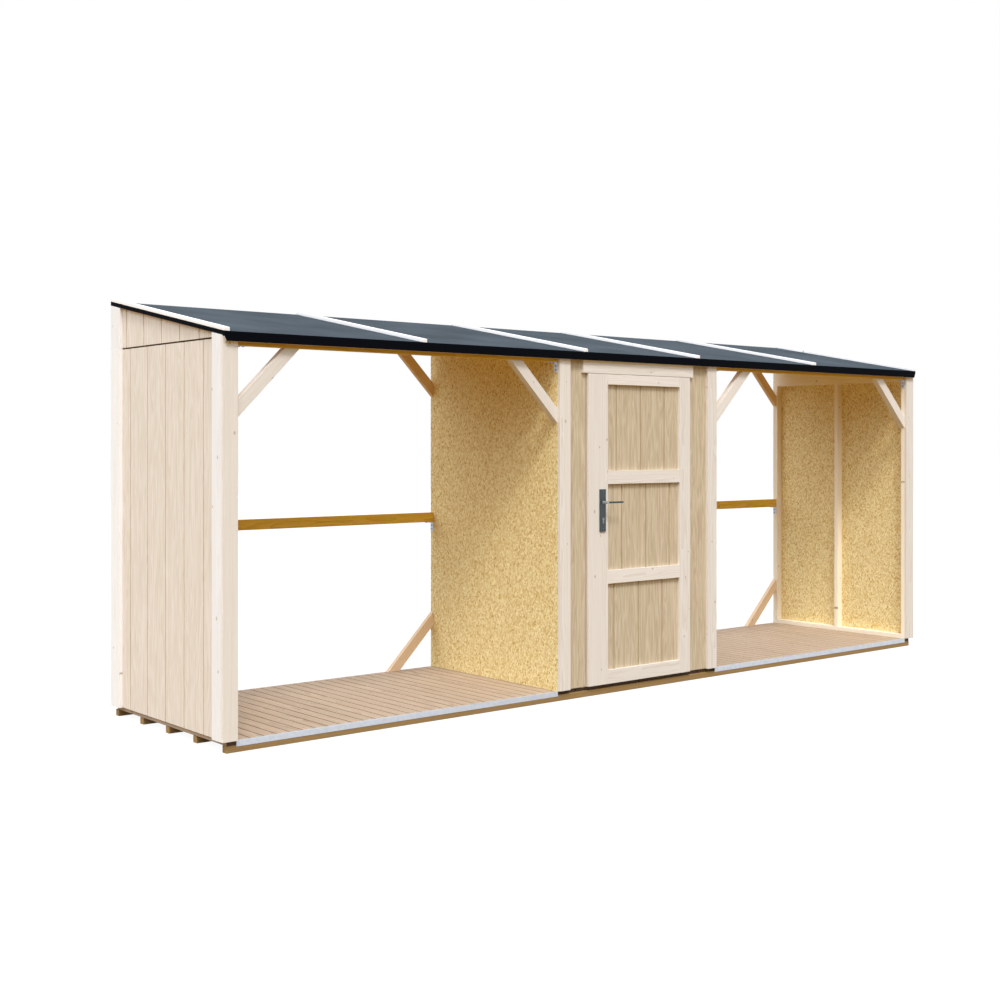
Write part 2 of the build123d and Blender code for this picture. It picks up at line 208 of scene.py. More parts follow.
def softwood(name, early, late, knot, ring_mm=5.0, knot_share=0.45, ring_strength=0.55, roughness=0.62):
    """Softwood: pale early wood, darker late wood in each ring, fine fibres and a few small knots."""
    material, tree, shader = fresh_material(name)
    grain = add_node(tree, "ShaderNodeAttribute", attribute_name="grain").outputs["Vector"]
    tone = add_node(tree, "ShaderNodeAttribute", attribute_name="tone").outputs["Fac"]

    # The stem wanders over a metre or so, which draws the rings out into flames on a board's face.
    swings_per_metre = (1.1, 7.0, 7.0)
    swing_reach = (0.0, 0.05, 0.05)
    across_stem = (0.0, 1.0, 1.0)
    late_power = 2.5
    slow = add_node(tree, "ShaderNodeVectorMath", {0: grain, 1: swings_per_metre}, operation="MULTIPLY")
    wander = add_node(tree, "ShaderNodeTexNoise", {"Vector": slow.outputs[0], "Scale": 1.0, "Detail": 3.0})
    shift = add_node(tree, "ShaderNodeVectorMath", {0: wander.outputs["Color"], 1: swing_reach},
                     operation="MULTIPLY")
    bent = add_node(tree, "ShaderNodeVectorMath", {0: grain, 1: shift.outputs[0]}, operation="ADD")
    section = add_node(tree, "ShaderNodeVectorMath", {0: bent.outputs[0], 1: across_stem},
                       operation="MULTIPLY")
    radius = add_node(tree, "ShaderNodeVectorMath", {0: section.outputs[0]}, operation="LENGTH")
    rings = add_node(tree, "ShaderNodeMath", {0: radius.outputs["Value"], 1: 1000.0 / ring_mm},
                     operation="MULTIPLY")
    ring = add_node(tree, "ShaderNodeMath", {0: rings.outputs[0]}, operation="FRACT")
    late_band = add_node(tree, "ShaderNodeMath", {0: ring.outputs[0], 1: late_power}, operation="POWER")

    # Fibres about 1.5 mm wide run 60 mm or so; streaks 12 mm wide run half a metre.
    fibres_per_metre = (16.0, 650.0, 650.0)
    fibre_strength = 0.35
    streaks_per_metre = (2.0, 85.0, 85.0)
    streak_strength = 0.55
    fine = add_node(tree, "ShaderNodeVectorMath", {0: bent.outputs[0], 1: fibres_per_metre},
                    operation="MULTIPLY")
    fibre = add_node(tree, "ShaderNodeTexNoise", {"Vector": fine.outputs[0], "Scale": 1.0, "Detail": 4.0})
    wide = add_node(tree, "ShaderNodeVectorMath", {0: bent.outputs[0], 1: streaks_per_metre},
                    operation="MULTIPLY")
    streak = add_node(tree, "ShaderNodeTexNoise", {"Vector": wide.outputs[0], "Scale": 1.0, "Detail": 3.0})
    mixed = add_node(tree, "ShaderNodeMath", {0: late_band.outputs[0], 1: ring_strength},
                     operation="MULTIPLY")
    mixed = add_node(tree, "ShaderNodeMath",
                     {0: fibre.outputs["Fac"], 1: fibre_strength, 2: mixed.outputs[0]},
                     operation="MULTIPLY_ADD")
    mixed = add_node(tree, "ShaderNodeMath",
                     {0: streak.outputs["Fac"], 1: streak_strength, 2: mixed.outputs[0]},
                     operation="MULTIPLY_ADD")
    amount = add_node(tree, "ShaderNodeMapRange",
                      {"Value": mixed.outputs[0], "From Min": 0.3, "From Max": 1.15})
    wood = mix_colours(tree, amount.outputs[0], early, late)

    # Knots lie about 190 mm apart along a board, each 4 to 10 mm across and drawn out along the grain.
    # Only some of the places have one.
    knot_run, knot_row = 0.19, 0.08
    knot_stretch_share = 0.6
    cells = add_node(tree, "ShaderNodeVectorMath", {0: grain, 1: (1 / knot_run, 1 / knot_row, 0.0)},
                     operation="MULTIPLY")
    spots = add_node(tree, "ShaderNodeTexVoronoi", {"Vector": cells.outputs[0], "Scale": 1.0},
                     voronoi_dimensions="2D")
    apart = add_node(tree, "ShaderNodeVectorMath", {0: cells.outputs[0], 1: spots.outputs["Position"]},
                     operation="SUBTRACT")
    apart = add_node(tree, "ShaderNodeVectorMath",
                     {0: apart.outputs[0], 1: (knot_run * knot_stretch_share, knot_row, 0.0)},
                     operation="MULTIPLY")
    reach = add_node(tree, "ShaderNodeVectorMath", {0: apart.outputs[0]}, operation="LENGTH")
    chance = add_node(tree, "ShaderNodeSeparateColor", {0: spots.outputs["Color"]})
    size = add_node(tree, "ShaderNodeMapRange",
                    {"Value": chance.outputs["Green"], "To Min": 0.002, "To Max": 0.005})
    inside = add_node(tree, "ShaderNodeMath", {0: reach.outputs["Value"], 1: size.outputs[0]},
                      operation="DIVIDE")
    core = add_node(tree, "ShaderNodeMapRange",
                    {"Value": inside.outputs[0], "From Min": 1.7, "From Max": 0.3})
    has_knot = add_node(tree, "ShaderNodeMath", {0: chance.outputs["Red"], 1: knot_share},
                        operation="LESS_THAN")
    knot_mask = add_node(tree, "ShaderNodeMath", {0: core.outputs[0], 1: has_knot.outputs[0]},
                         operation="MULTIPLY")
    knotted = mix_colours(tree, knot_mask.outputs[0], wood, knot)

    # Boards of one store differ a little in tone, and the fibres stand out a little from the planed face.
    level = add_node(tree, "ShaderNodeMapRange", {"Value": tone, "To Min": 0.95, "To Max": 1.03})
    toned = add_node(tree, "ShaderNodeHueSaturation", {"Color": knotted, "Value": level.outputs[0]})
    tree.links.new(toned.outputs[0], shader.inputs["Base Color"])
    dull = add_node(tree, "ShaderNodeMapRange",
                    {"Value": fibre.outputs["Fac"], "To Min": roughness - 0.08, "To Max": roughness + 0.12})
    tree.links.new(dull.outputs[0], shader.inputs["Roughness"])
    relief = add_node(tree, "ShaderNodeBump",
                      {"Strength": 0.25, "Distance": 0.0006, "Height": fibre.outputs["Fac"]})
    tree.links.new(relief.outputs[0], shader.inputs["Normal"])
    shader.inputs["Specular IOR Level"].default_value = 0.3
    return material


def dress(piece, material, body, slot, *nodes):
    """Give a finished piece its material and body and hide its CAD nodes. The slot is not used."""
    piece.data.materials.append(material)
    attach(piece, body)
    if nodes:
        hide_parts(*nodes)


# Rough sawn and stained by the treatment, so it looks dull and brown, with wide rings.
treated = softwood("Treated softwood, sawn", "#ab8a57", "#80623a", "#3f2c17", ring_mm=6.0, knot_share=0.3,
                   roughness=0.75)
bearers = eased_copy("floor_bearers", "bearers", bearer_arris)
mark_grain(bearers)
dress(bearers, treated, "store", "treated_bearer", "floor_bearers")

# Floor boards
# Planed softwood boards lie front to back on the bearers and are nailed to them, with narrow gaps between
# them for the air. Their long edges are eased.
board_pitch = 0.073
board_gap = 0.004
board_arris = 0.0018
shade_free_end = 0.002
deck_low, deck_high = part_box("bay_decks")
cupboard_low, cupboard_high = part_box("cupboard_floor")

# Planed faces look pale and even. The board sides in the gaps are painted dark brown as painted shade; the
# outermost sides keep the planed colour.
deck_wood = softwood("Deck softwood, planed", "#c3ad94", "#9f8368", "#785b40", ring_mm=6.0, knot_share=0.25)
tree = deck_wood.node_tree
shader = tree.nodes["Principled BSDF"]
planed = shader.inputs["Base Color"].links[0].from_socket
normal = add_node(tree, "ShaderNodeNewGeometry").outputs["Normal"]
facing = add_node(tree, "ShaderNodeSeparateXYZ", {0: normal})
# Painted shade: faces tilted away from straight up, other than the outermost sides, turn dark brown.
sawn = add_node(tree, "ShaderNodeMapRange", {"Value": facing.outputs["Z"], "From Min": 0.95, "From Max": 0.6})
parts = add_node(tree, "ShaderNodeSeparateXYZ", {0: own_place(tree)})
reach = add_node(tree, "ShaderNodeMath", {0: parts.outputs["X"]}, operation="ABSOLUTE")
in_gap = add_node(tree, "ShaderNodeMath", {0: reach.outputs[0], 1: deck_high.x - shade_free_end},
                  operation="LESS_THAN")
sawn = add_node(tree, "ShaderNodeMath", {0: sawn.outputs[0], 1: in_gap.outputs[0]}, operation="MULTIPLY")
deck_colour = mix_colours(tree, sawn.outputs[0], planed, "#4f3a26")
tree.links.new(deck_colour, shader.inputs["Base Color"])


def block(name, low, high):
    """Block between two opposite corners, which is then shaped further."""
    bpy.ops.object.select_all(action="DESELECT")
    bpy.ops.mesh.primitive_cube_add(size=1.0, location=(low + high) / 2, scale=high - low)
    piece = bpy.context.active_object
    piece.name = name
    piece.data.name = name
    bpy.ops.object.transform_apply()
    return piece


def repeat(piece, count, step):
    """Row of copies of a piece, each one step on from the last."""
    lone(piece)
    row = piece.modifiers.new("row", "ARRAY")
    row.count = count
    row.use_relative_offset = False
    row.use_constant_offset = True
    row.constant_offset_displace = step
    bpy.ops.object.modifier_apply(modifier="row")


def floor_boards(name, low, high):
    """Row of boards that fills a rectangle of floor."""
    count = round((high.x - low.x) / board_pitch)
    pitch = (high.x - low.x) / count
    piece = block(name, Vector((low.x + board_gap / 2, low.y, low.z)),
                  Vector((low.x + pitch - board_gap / 2, high.y, high.z)))
    repeat(piece, count, (pitch, 0.0, 0.0))
    ease_edges(piece, board_arris)
    mark_grain(piece)
    return piece


left_floor = floor_boards("left_floor_boards", deck_low, Vector((cupboard_low.x, deck_high.y, deck_high.z)))
dress(left_floor, deck_wood, "store", "deck_board", "bay_decks")
right_floor = floor_boards("right_floor_boards", Vector((cupboard_high.x, deck_low.y, deck_low.z)), deck_high)
dress(right_floor, deck_wood, "store", "deck_board", "bay_decks")
middle_floor = floor_boards("cupboard_floor_boards", cupboard_low, cupboard_high)
dress(middle_floor, deck_wood, "store", "deck_board", "cupboard_floor")

# Deck edging
# A folded strip of galvanised steel sheet covers the front ends of the deck boards in each bay.
# It is bent to an angle, so its edges are a little round, and sits on the front edge of the deck.
edging_arris = 0.0005

# Hot zinc sets in flat crystals about 12 mm across, which show as a pale patchwork of matt spots.
crystal_mm = 12.0
zinc, tree, shader = fresh_material("Galvanised steel sheet")
place = own_place(tree)
crystals = add_node(tree, "ShaderNodeTexVoronoi", {"Vector": place, "Scale": 1000.0 / crystal_mm})
patch = add_node(tree, "ShaderNodeSeparateColor", {0: crystals.outputs["Color"]})
spangle = mix_colours(tree, patch.outputs["Red"], "#c8cdd5", "#d1d6dd")
tree.links.new(spangle, shader.inputs["Base Color"])
matt = add_node(tree, "ShaderNodeMapRange", {"Value": patch.outputs["Green"], "To Min": 0.42, "To Max": 0.6})
tree.links.new(matt.outputs[0], shader.inputs["Roughness"])
shader.inputs["Metallic"].default_value = 0.6
edging = eased_copy("deck_edgings", "deck_edging_strips", edging_arris)
dress(edging, zinc, "store", "galvanised_steel", "deck_edgings")

# Deck nails
# A galvanised nail with a flat round head holds each deck board to each bearer. It is driven until its head
# stands less than a millimetre proud of the board.
nail_radius = 0.004
nail_height = 0.0008
nail_sides = 8
nail_edge = 0.01
upwards = Vector((0.0, 0.0, 1.0))


def pick_faces(piece, wanted):
    """Select, in edit mode, the faces that a test picks out."""
    bpy.ops.mesh.select_mode(type="FACE")
    bpy.ops.mesh.select_all(action="DESELECT")
    solid = bmesh.from_edit_mesh(piece.data)
    for face in solid.faces:
        face.select_set(wanted(face))
    bmesh.update_edit_mesh(piece.data)


def round_head(name, radius, height, sides, socket):
    """Round head that stands on the origin and points up, with a rounded rim and perhaps a driver socket."""
    rim_share = 0.4
    socket_edge_share, socket_taper_share, socket_depth_share = 0.35, 0.05, 0.6
    bpy.ops.object.select_all(action="DESELECT")
    bpy.ops.mesh.primitive_cylinder_add(vertices=sides, radius=radius, depth=height,
                                        location=(0, 0, height / 2))
    piece = bpy.context.active_object
    piece.name = name
    piece.data.name = name
    bpy.ops.object.transform_apply()
    bpy.ops.object.mode_set(mode="EDIT")
    pick_faces(piece, lambda face: face.normal.z > 0.9)
    bpy.ops.mesh.bevel(offset=height * rim_share, segments=2)
    if socket:
        pick_faces(piece, lambda face: face.normal.z > 0.95)
        bpy.ops.mesh.inset(thickness=radius * socket_edge_share)
        bpy.ops.mesh.inset(thickness=radius * socket_taper_share, depth=-height * socket_depth_share)
    bpy.ops.object.mode_set(mode="OBJECT")
    bpy.ops.object.shade_smooth_by_angle(angle=smooth_angle)
    return piece


def set_heads(model, name, spots):
    """Copies of a head at several spots, each turned the way it points there, joined in one piece."""
    copies = []
    for spot, facing in spots:
        lone(model)
        bpy.ops.object.duplicate()
        copy = bpy.context.active_object
        copy.location = spot
        copy.rotation_euler = upwards.rotation_difference(facing).to_euler()
        copies.append(copy)
    bpy.ops.object.select_all(action="DESELECT")
    for copy in copies:
        copy.select_set(True)
    bpy.context.view_layer.objects.active = copies[0]
    bpy.ops.object.join()
    bpy.ops.object.transform_apply()
    piece = bpy.context.active_object
    piece.name = name
    piece.data.name = name
    return piece


nail = round_head("nail", nail_radius, nail_height, nail_sides, False)
solid = bmesh.new()
solid.from_mesh(bearers.data)
bearer_lines = sorted(sum(vert.co.y for vert in bearer) / len(bearer) for bearer in boards_of(solid))
solid.free()
front_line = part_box("deck_edgings")[1].y + nail_edge
back_line = deck_high.y - nail_edge
bay_lines = [min(max(line, front_line), back_line) for line in bearer_lines]
for name, start, end, lines in (("left_floor_nails", deck_low.x, cupboard_low.x, bay_lines),
                                ("cupboard_floor_nails", cupboard_low.x, cupboard_high.x, bay_lines[1:-1]),
                                ("right_floor_nails", cupboard_high.x, deck_high.x, bay_lines)):
    count = round((end - start) / board_pitch)
    pitch = (end - start) / count
    # The boards at both ends lie under a wall, so the nails start on the middle of the second one.
    second_board = start + pitch + pitch / 2
    nails = set_heads(nail, name, [(Vector((second_board, line, deck_high.z)), upwards) for line in lines])
    repeat(nails, count - 2, (pitch, 0.0, 0.0))
    dress(nails, zinc, "store", "galvanised_steel")
bpy.data.objects.remove(nail)

# Siding
# Pressed wood sheets with upright grooves clad the end walls, the cupboard and the door, nailed to the studs.
# The outside is embossed and printed with an oak grain, and the back is left bare.
groove_pitch = 0.2032
sheet_arris = 0.0008
# Pale and dark print colours for the front, then a darker colour painted into its grooves as shade.
front_print_and_groove_shade = ("#dac8ab", "#b8a383", "#b9a280")


def strands(tree, parts):
    """Colour and height of pressed wood strands, about 12 by 6 mm, most of them standing near upright."""
    strand_size = (0.012, 0.006, 1.0)
    strand_turns = (52, 70, 83, 96, 112, 134)
    shift_per_turn = Vector((0.37, 0.11, 0.0))
    resin_share = 0.05
    flat = add_node(tree, "ShaderNodeMath", {0: parts.outputs["X"], 1: parts.outputs["Y"]}, operation="ADD")
    sheet = add_node(tree, "ShaderNodeCombineXYZ", {0: flat.outputs[0], 1: parts.outputs["Z"]})
    tone = None
    top = None
    # One layer of strands for each way they lie. At each place the layer that drew the highest strand shows.
    for turn in strand_turns:
        laid = add_node(tree, "ShaderNodeMapping",
                        {"Vector": sheet.outputs[0], "Location": shift_per_turn * turn,
                         "Rotation": (0.0, 0.0, math.radians(turn)), "Scale": strand_size},
                        vector_type="TEXTURE")
        flakes = add_node(tree, "ShaderNodeTexVoronoi", {"Vector": laid.outputs[0], "Scale": 1.0},
                          voronoi_dimensions="2D")
        drawn = add_node(tree, "ShaderNodeSeparateColor", {0: flakes.outputs["Color"]})
        if tone is None:
            tone, top = drawn.outputs["Red"], drawn.outputs["Green"]
            continue
        over = add_node(tree, "ShaderNodeMath", {0: drawn.outputs["Green"], 1: top}, operation="GREATER_THAN")
        tone = add_node(tree, "ShaderNodeMix", {0: over.outputs[0], 2: tone, 3: drawn.outputs["Red"]},
                        data_type="FLOAT").outputs[0]
        top = add_node(tree, "ShaderNodeMath", {0: drawn.outputs["Green"], 1: top},
                       operation="MAXIMUM").outputs[0]
    base = mix_colours(tree, tone, "#d6b064", "#fff0ba")
    resin = add_node(tree, "ShaderNodeMath", {0: tone, 1: resin_share}, operation="LESS_THAN")
    return mix_colours(tree, resin.outputs[0], base, "#c69c50"), tone


def siding(name, pale, dark, groove, axis, outer, inward):
    """Grooved siding: printed grain outside, strands on the bare back, and groove floors painted darker as
    painted shade.

    The outside lies at the place outer on the axis, and inward is 1 or -1, the way into the sheet from there.
    The print changes once in every groove pitch.
    """
    material, tree, shader = fresh_material(name)
    place = own_place(tree)
    parts = add_node(tree, "ShaderNodeSeparateXYZ", {0: place})
    side = parts.outputs[axis]
    if axis == "X":
        side = add_node(tree, "ShaderNodeMath", {0: side}, operation="ABSOLUTE").outputs[0]
    depth = add_node(tree, "ShaderNodeMath", {0: side, 1: outer}, operation="SUBTRACT")
    depth = add_node(tree, "ShaderNodeMath", {0: depth.outputs[0], 1: inward}, operation="MULTIPLY")

    print_step = 1.37
    across = parts.outputs["Y" if axis == "X" else "X"]
    counted = add_node(tree, "ShaderNodeMath", {0: across, 1: groove_pitch}, operation="DIVIDE")
    number = add_node(tree, "ShaderNodeMath", {0: counted.outputs[0]}, operation="FLOOR")
    jump = add_node(tree, "ShaderNodeMath", {0: number.outputs[0], 1: print_step}, operation="MULTIPLY")
    along = add_node(tree, "ShaderNodeMath", {0: parts.outputs["Z"], 1: jump.outputs[0]}, operation="ADD")
    print_place = add_node(tree, "ShaderNodeCombineXYZ",
                           {0: across, 1: depth.outputs[0], 2: along.outputs[0]})

    # Printed grain: long flames of several rings, streaks 12 mm wide, and pores 2 mm wide and 70 mm long.
    flames_per_metre = (16.0, 0.0, 1.3)
    flame_rings = 18.0
    flame_strength = 0.35
    streaks_per_metre = (85.0, 0.0, 2.0)
    streak_strength = 0.8
    pores_per_metre = (420.0, 0.0, 14.0)
    pore_strength = 0.6
    slow = add_node(tree, "ShaderNodeVectorMath", {0: print_place.outputs[0], 1: flames_per_metre},
                    operation="MULTIPLY")
    flame_bend = add_node(tree, "ShaderNodeTexNoise",
                          {"Vector": slow.outputs[0], "Scale": 1.0, "Detail": 3.0, "Distortion": 0.4})
    rings = add_node(tree, "ShaderNodeMath", {0: flame_bend.outputs["Fac"], 1: flame_rings},
                     operation="MULTIPLY")
    ring = add_node(tree, "ShaderNodeMath", {0: rings.outputs[0], 1: 1.0}, operation="PINGPONG")
    wide = add_node(tree, "ShaderNodeVectorMath", {0: print_place.outputs[0], 1: streaks_per_metre},
                    operation="MULTIPLY")
    streak = add_node(tree, "ShaderNodeTexNoise", {"Vector": wide.outputs[0], "Scale": 1.0, "Detail": 4.0})
    fine = add_node(tree, "ShaderNodeVectorMath", {0: print_place.outputs[0], 1: pores_per_metre},
                    operation="MULTIPLY")
    pores = add_node(tree, "ShaderNodeTexNoise", {"Vector": fine.outputs[0], "Scale": 1.0, "Detail": 3.0})
    mixed = add_node(tree, "ShaderNodeMath", {0: ring.outputs[0], 1: flame_strength}, operation="MULTIPLY")
    mixed = add_node(tree, "ShaderNodeMath",
                     {0: streak.outputs["Fac"], 1: streak_strength, 2: mixed.outputs[0]},
                     operation="MULTIPLY_ADD")
    mixed = add_node(tree, "ShaderNodeMath", {0: pores.outputs["Fac"], 1: pore_strength, 2: mixed.outputs[0]},
                     operation="MULTIPLY_ADD")
    amount = add_node(tree, "ShaderNodeMapRange",
                      {"Value": mixed.outputs[0], "From Min": 0.55, "From Max": 1.2})
    grain = mix_colours(tree, amount.outputs[0], pale, dark)

    # Bands some 40 mm wide lean to pink or to grey, as oak does between heart and sap.
    bands_per_metre = (26.0, 0.0, 0.5)
    band = add_node(tree, "ShaderNodeVectorMath", {0: print_place.outputs[0], 1: bands_per_metre},
                    operation="MULTIPLY")
    lean = add_node(tree, "ShaderNodeTexNoise", {"Vector": band.outputs[0], "Scale": 1.0, "Detail": 1.0})
    hue = add_node(tree, "ShaderNodeMapRange",
                   {"Value": lean.outputs["Fac"], "From Min": 0.3, "From Max": 0.7, "To Min": 0.491,
                    "To Max": 0.509})
    level = add_node(tree, "ShaderNodeMapRange",
                     {"Value": lean.outputs["Fac"], "From Min": 0.3, "From Max": 0.7, "To Min": 1.02,
                      "To Max": 0.98})
    grain = add_node(tree, "ShaderNodeHueSaturation",
                     {"Color": grain, "Hue": hue.outputs[0], "Value": level.outputs[0]})
    # Painted shade: groove floors sunk more than about a millimetre take the darker groove colour.
    sunk = add_node(tree, "ShaderNodeMapRange",
                    {"Value": depth.outputs[0], "From Min": 0.0008, "From Max": 0.003})
    outside = mix_colours(tree, sunk.outputs[0], grain.outputs[0], groove)

    bare_depth = 0.009
    inside, inside_height = strands(tree, parts)
    bare = add_node(tree, "ShaderNodeMath", {0: depth.outputs[0], 1: bare_depth}, operation="GREATER_THAN")
    both = mix_colours(tree, bare.outputs[0], outside, inside)
    tree.links.new(both, shader.inputs["Base Color"])
    height = add_node(tree, "ShaderNodeMix", {0: bare.outputs[0], 2: mixed.outputs[0], 3: inside_height},
                      data_type="FLOAT")
    relief = add_node(tree, "ShaderNodeBump",
                      {"Strength": 0.35, "Distance": 0.0008, "Height": height.outputs[0]})
    tree.links.new(relief.outputs[0], shader.inputs["Normal"])
    shader.inputs["Roughness"].default_value = 0.68
    shader.inputs["Specular IOR Level"].default_value = 0.3
    return material


# The end walls are the palest print, and the front, back and door share a browner one. The last colour of
# each is painted shade for the grooves.
wall_low, wall_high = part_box("wall_panels")
wall_siding = siding("Oak-grain siding, end walls", "#e8dccd", "#d4c4b0", "#c4af94", "X", wall_high.x, -1)
for node, name in (("wall_panels", "end_wall_sheets"), ("gable_panels", "gable_sheets")):
    sheets = eased_copy(node, name, sheet_arris)
    dress(sheets, wall_siding, "store", "siding", node)
front_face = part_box("cupboard_front_left")[0].y
front_siding = siding("Oak-grain siding, front", *front_print_and_groove_shade, "Y", front_face, 1)
for node in ("cupboard_front_left", "cupboard_front_right", "cupboard_front_head"):
    sheet = eased_copy(node, node + "_sheet", sheet_arris)
    dress(sheet, front_siding, "store", "siding", node)
back_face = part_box("cupboard_back")[1].y
back_siding = siding("Oak-grain siding, back", *front_print_and_groove_shade, "Y", back_face, -1)
back_sheet = eased_copy("cupboard_back", "cupboard_back_sheet", sheet_arris)
dress(back_sheet, back_siding, "store", "siding", "cupboard_back")

# Wall joint strips
# A dark brown strip closes the level joint between each end wall's sheet and its gable sheet, as painted
# shade for the joint.
# It is nailed to the top plate and its foot turns out as a drip edge.
sheet_thickness = 0.012
strip_thickness = 0.004
strip_clearance = 0.0003
strip_arris = 0.0004
drip_height = 0.0025
drip_reach = 0.003
trim_cover = 0.082

# The strip is painted dark brown and quite dull, with a fine felted mottle, as painted shade in the joint.
fluff_mm = 6.0
joint_shade_board, tree, shader = fresh_material("Bitumen board, brown")
place = own_place(tree)
fluff = add_node(tree, "ShaderNodeTexNoise", {"Vector": place, "Scale": 1000.0 / fluff_mm, "Detail": 3.0})
joint_shade_colour = mix_colours(tree, fluff.outputs["Fac"], "#33230f", "#553b1d")
tree.links.new(joint_shade_colour, shader.inputs["Base Color"])
shader.inputs["Roughness"].default_value = 0.9
joint_foot = wall_high.z + strip_clearance
joint_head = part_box("gable_panels")[0].z - strip_clearance
joint_front = wall_low.y + trim_cover
joint_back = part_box("gable_trims")[0].y
strip_back = wall_high.x - sheet_thickness
drip_top = wall_high.z + drip_height
for end, name in ((-1, "left_joint_strip"), (1, "right_joint_strip")):
    near, far = sorted((end * strip_back, end * (strip_back + strip_thickness)))
    strip = block(name, Vector((near, joint_front, joint_foot)), Vector((far, joint_back, joint_head)))
    bpy.ops.object.mode_set(mode="EDIT")
    bpy.ops.mesh.select_all(action="SELECT")
    bpy.ops.mesh.bisect(plane_co=(0.0, 0.0, drip_top), plane_no=(0.0, 0.0, 1.0))
    pick_faces(strip, lambda face: face.normal.x * end > 0.9 and face.calc_center_median().z < drip_top)
    bpy.ops.mesh.extrude_region_move(TRANSFORM_OT_translate={"value": (end * drip_reach, 0.0, 0.0)})
    bpy.ops.object.mode_set(mode="OBJECT")
    ease_edges(strip, strip_arris)
    dress(strip, joint_shade_board, "store", "roofing_felt")

# Strand board walls
# Bare strand board forms the bay sides of the cupboard. It is long wood flakes pressed flat with resin,
# cut to size and screwed to the cupboard's studs.

# Flakes of straw and honey colours overlap, and each stands a hair higher or lower than the next.
strand_board, tree, shader = fresh_material("Strand board, bare")
place = own_place(tree)
flake_colour, flake_height = strands(tree, add_node(tree, "ShaderNodeSeparateXYZ", {0: place}))
tree.links.new(flake_colour, shader.inputs["Base Color"])
relief = add_node(tree, "ShaderNodeBump", {"Strength": 0.3, "Distance": 0.0008, "Height": flake_height})
tree.links.new(relief.outputs[0], shader.inputs["Normal"])
shader.inputs["Roughness"].default_value = 0.7
shader.inputs["Specular IOR Level"].default_value = 0.25
cupboard_sides = eased_copy("cupboard_walls", "cupboard_side_boards", sheet_arris)
dress(cupboard_sides, strand_board, "store", "strand_board", "cupboard_walls")

# Frame timber
# Studs, plates and rafters of the walls, the door's frame and the rear braces are planed spruce, screwed
# together. The beams and rails along the bays are a resinous pine, painted deeper gold as painted shade.
timber_arris = 0.0015

# Planed wall spruce is nearly white. Braces are warmer and pine golden, with darker knots, partly painted
# shade.
frame_spruce = softwood("Frame spruce, planed", "#fff5e0", "#f8e6c6", "#b08a5a", knot_share=0.3)
brace_shade_spruce = softwood("Brace spruce, planed", "#f3d9b8", "#dfb98c", "#a07142", knot_share=0.3)
golden_shade_pine = softwood("Frame pine, planed", "#f0c450", "#d2a42e", "#8a5c20", knot_share=0.3)
for timber, nodes in ((frame_spruce, ("wall_studs", "wall_plates", "gable_rafters", "gable_plates",
                                      "cupboard_studs", "cupboard_plates", "door_jambs", "door_lintel")),
                      (golden_shade_pine, ("front_beams", "rear_beams", "rear_rails")),
                      (brace_shade_spruce, ("rear_braces",))):
    for node in nodes:
        timbers = eased_copy(node, node + "_timber", timber_arris)
        mark_grain(timbers)
        dress(timbers, timber, "store", "frame_timber", node)

# Brackets
# Pressed galvanised angles sit in the corners under the beams and rails. Each leg is held by two screws with
# flat round heads and a driver socket, of darker plated steel.
bracket_arris = 0.0006
bracket_plate = 0.0025
screw_reaches = (0.022, 0.044)
screw_radius = 0.0045
screw_height = 0.0026
screw_sides = 12
bay_middle = (cupboard_high.x + deck_high.x) / 2

# Dark zinc plating has a smoky haze. It is drawn 3 mm wide, coarser than on a real screw, so that it shows.
haze_mm = 3.0
plated, tree, shader = fresh_material("Plated steel, dark")
place = own_place(tree)
haze = add_node(tree, "ShaderNodeTexNoise", {"Vector": place, "Scale": 1000.0 / haze_mm, "Detail": 2.0})
plating = mix_colours(tree, haze.outputs["Fac"], "#55575a", "#7d8084")
tree.links.new(plating, shader.inputs["Base Color"])
shader.inputs["Metallic"].default_value = 0.9
shader.inputs["Roughness"].default_value = 0.45

screw = round_head("screw", screw_radius, screw_height, screw_sides, True)
for node in ("beam_brackets", "rail_brackets"):
    angles = plain_copy(node, node + "_pressed")
    spots = []
    solid = bmesh.new()
    solid.from_mesh(angles.data)
    for angle in boards_of(solid):
        low, high = (Vector([pick(vert.co[i] for vert in angle) for i in range(3)]) for pick in (min, max))
        middle = (low + high) / 2
        inward = 1 if middle.x < -bay_middle or 0 < middle.x < bay_middle else -1
        wall = low.x if inward > 0 else high.x
        for reach in screw_reaches:
            upright = Vector((wall + inward * bracket_plate, middle.y, high.z - reach))
            level = Vector((wall + inward * reach, middle.y, high.z - bracket_plate))
            spots += [(upright, Vector((inward, 0, 0))), (level, -upwards)]
    solid.free()
    ease_edges(angles, bracket_arris)
    dress(angles, zinc, "store", "galvanised_steel", node)
    dress(set_heads(screw, node + "_screws", spots), plated, "store", "galvanised_steel")

# Front boards, corner trims and front braces
# Planed pale spruce boards are nailed over the front corners and the edges of the end walls, and brace the
# beams. The side trims are painted the whitest, as painted light for the strong light on the sides.
trim_arris = 0.001

# Fresh planed spruce is a pale pinkish cream with faint rings; the side trims are nearly white, painted
# light.
trim_spruce = softwood("Trim spruce, planed pale", "#f0e8dd", "#dacbb9", "#bba791", knot_share=0.38,
                       ring_strength=0.4)
whitened_side_spruce = softwood("Trim spruce, white sapwood", "#f1ede8", "#e4ddd4", "#b8a99a", knot_share=0.4,
                      ring_strength=0.35)
for node, timber in (("end_posts", trim_spruce), ("corner_trims", whitened_side_spruce), ("gable_trims", whitened_side_spruce),
                     ("cupboard_posts", trim_spruce), ("door_head_board", trim_spruce),
                     ("front_braces", trim_spruce)):
    boards = eased_copy(node, node + "_planed", trim_arris)
    mark_grain(boards)
    dress(boards, timber, "store", "trim_board", node)

